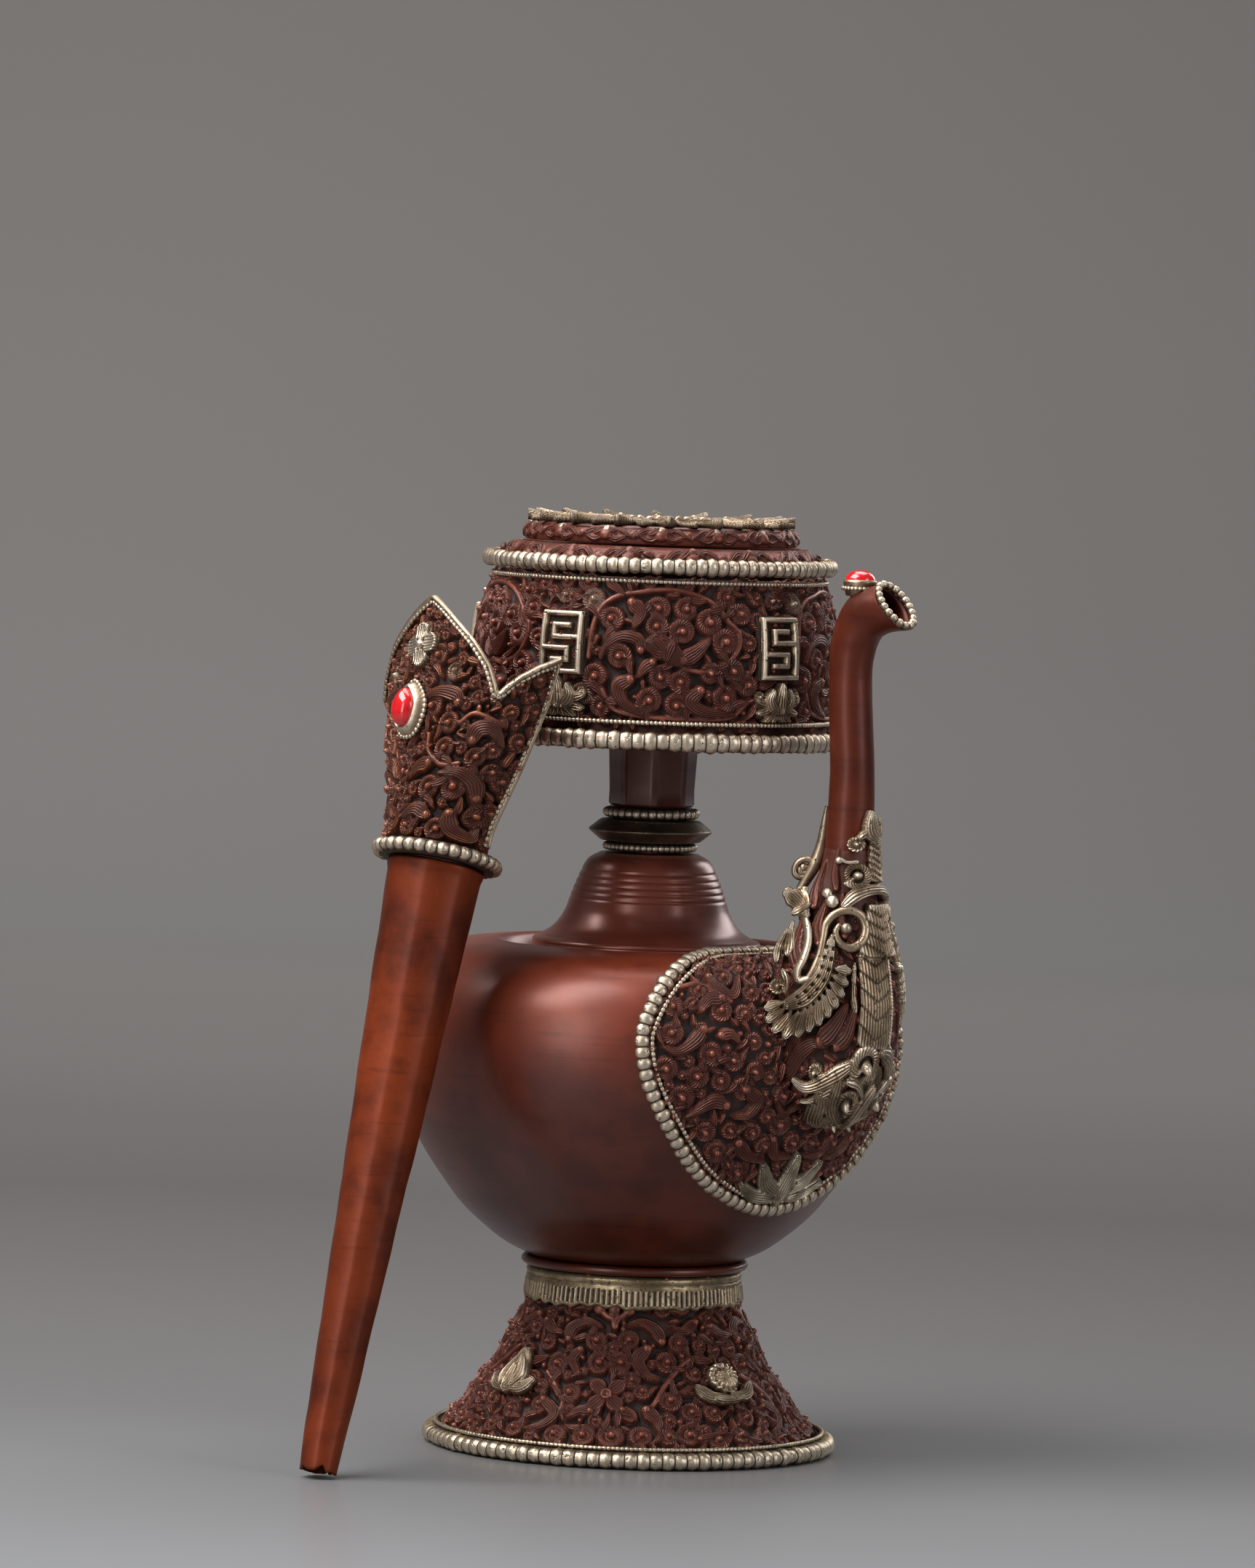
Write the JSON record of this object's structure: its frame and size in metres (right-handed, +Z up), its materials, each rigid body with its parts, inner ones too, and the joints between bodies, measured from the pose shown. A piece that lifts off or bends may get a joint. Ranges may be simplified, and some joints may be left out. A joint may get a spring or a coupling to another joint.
{
  "type": "ritual water vase",
  "caption": "Footed copper water vase with a long curved spout, silver-trimmed scrollwork drum on its neck, and a loose feather holder leaning on the drum.",
  "frame": {"origin": "on the floor under the middle of the whole set's bounding box; the vase's own axis stands at x = -0.0094 m, y = 0.0253 m", "axes": "+Z up along the vase's axis, +X from the vase's axis towards its spout, the holder stands on the -Y side"},
  "size_m": [0.1328, 0.1646, 0.2121],
  "materials": {
    "dark_copper": "smooth raised copper, dark red-brown patina, soft sheen",
    "scroll_copper": "chased and pierced copper scrollwork, dark red-brown with near-black recesses",
    "red_copper": "smooth hammered copper, warm orange-red patina",
    "silver": "antique silver, warm, dark in its recesses",
    "bronze": "dark bronze, worn bright on the edge",
    "coral": "polished red coral cabochon"
  },
  "bodies": {
    "vase": {"foot_shell": "scroll_copper", "foot_rim_beads": "silver", "foot_collar": "silver", "foot_lip": "dark_copper", "foot_symbol_1": "silver", "foot_symbol_2": "silver", "foot_symbol_3": "silver", "foot_symbol_4": "silver", "bowl": "dark_copper", "neck_bell": "dark_copper", "neck_beads_lower": "bronze", "neck_ring": "bronze", "neck_beads_upper": "bronze", "neck_tube": "dark_copper", "drum_floor": "dark_copper", "drum_wall": "scroll_copper", "drum_beads_lower": "silver", "drum_beads_upper": "silver", "drum_wire_lower": "silver", "drum_wire_upper": "silver", "drum_plaque_1": "silver", "drum_plaque_2": "silver", "drum_plaque_3": "silver", "drum_plaque_4": "silver", "drum_plaque_5": "silver", "drum_lotus_1": "silver", "drum_lotus_2": "silver", "drum_lotus_3": "silver", "drum_lotus_4": "silver", "drum_lotus_5": "silver", "lid": "scroll_copper", "lid_rosette": "silver", "lid_screw_1": "dark_copper", "lid_screw_2": "dark_copper", "lid_screw_3": "dark_copper", "lid_screw_4": "dark_copper", "spout_tube": "dark_copper", "spout_mouth_beads": "silver", "spout_bezel": "silver", "spout_stone": "coral", "heart_plate": "scroll_copper", "heart_beads": "silver", "heart_wire": "silver", "makara_crest": "silver", "makara_fin_left": "silver", "makara_fin_right": "silver", "makara_spine": "silver", "makara_side_left": "silver", "makara_side_right": "silver", "makara_mask": "silver"},
    "holder": {"holder_shaft": "red_copper", "holder_bead_ring": "silver", "holder_liner": "red_copper", "holder_hood": "scroll_copper", "holder_border": "silver", "holder_bezel": "silver", "holder_stone": "coral", "holder_flower": "silver"}
  },
  "joints": [
    {"name": "holder_lift", "type": "slide", "parent": "vase", "child": "holder", "axis": [0, 0, 1], "range_m": [0, 0.215]}
  ]
}
